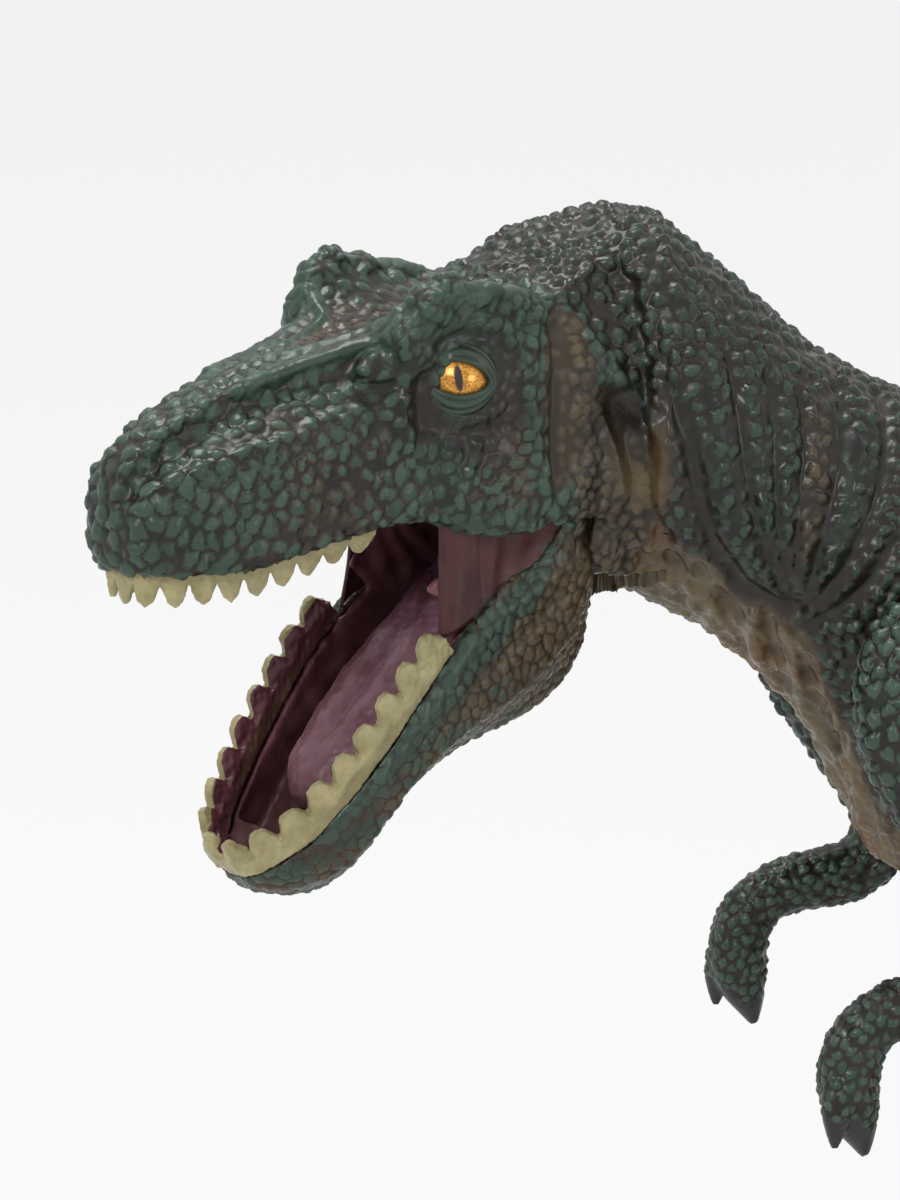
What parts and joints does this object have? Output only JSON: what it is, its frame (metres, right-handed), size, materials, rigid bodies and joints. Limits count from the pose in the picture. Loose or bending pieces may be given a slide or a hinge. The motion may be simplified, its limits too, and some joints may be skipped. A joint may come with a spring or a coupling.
{
  "type": "toy_dinosaur",
  "caption": "Toy theropod dinosaur figure in painted soft vinyl with scaly skin, an opening toothed jaw, turning arms and legs, and a long tail",
  "frame": {"origin": "centre of the footprint of the whole figure's box, on the surface that it stands on", "axes": "x: along the figure, the snout towards -X and the tail towards +X; y: its left side towards -Y; z: up"},
  "size_m": [0.4504, 0.1204, 0.248],
  "materials": {
    "green_skin": "teal-green paint over brown-grey soft vinyl, satin, with dark wash in the recesses",
    "ivory_teeth": "cream ivory, satin gloss",
    "burgundy_mouth": "dark burgundy, satin gloss",
    "pink_mouth": "dusky pink, satin gloss",
    "mauve_tongue": "mauve pink, satin gloss",
    "gold_eye": "metallic gold with a black slit, gloss",
    "steel_pin": "plain steel, turned",
    "grey_plastic": "dark grey, as moulded"
  },
  "bodies": {
    "body": {"torso_shell": "green_skin", "head_shell": "green_skin", "tail_shell": "green_skin", "neck_collar": "grey_plastic", "tail_collar": "grey_plastic", "mouth_lining": "burgundy_mouth", "upper_teeth": "ivory_teeth", "eye_left": "gold_eye", "eye_right": "gold_eye", "jaw_pin_left": "steel_pin", "jaw_pin_right": "steel_pin"},
    "jaw": {"lower_jaw": "green_skin", "mouth_floor": "pink_mouth", "tongue": "mauve_tongue", "lower_teeth": "ivory_teeth"},
    "left_arm": {"arm_left": "green_skin", "shoulder_peg_left": "grey_plastic"},
    "right_arm": {"arm_right": "green_skin", "shoulder_peg_right": "grey_plastic"},
    "left_leg": {"leg_left": "green_skin", "hip_peg_left": "grey_plastic"},
    "right_leg": {"leg_right": "green_skin", "hip_peg_right": "grey_plastic"}
  },
  "joints": [
    {"name": "jaw_hinge", "type": "hinge", "parent": "body", "child": "jaw", "pos_m": [-0.14273, -0.00141, 0.19951], "axis": [-0.4384, 0.8988, 0], "range_deg": [0, 20]},
    {"name": "left_shoulder", "type": "hinge", "parent": "body", "child": "left_arm", "pos_m": [-0.08149, 0, 0.1663], "axis": [0, 1, 0], "range_deg": [-20, 60]},
    {"name": "right_shoulder", "type": "hinge", "parent": "body", "child": "right_arm", "pos_m": [-0.08149, 0, 0.1663], "axis": [0, 1, 0], "range_deg": [-20, 60]},
    {"name": "left_hip", "type": "hinge", "parent": "body", "child": "left_leg", "pos_m": [-0.01259, 0, 0.14101], "axis": [0, 1, 0], "range_deg": [-25, 20]},
    {"name": "right_hip", "type": "hinge", "parent": "body", "child": "right_leg", "pos_m": [-0.01259, 0, 0.14101], "axis": [0, 1, 0], "range_deg": [-25, 20]}
  ]
}
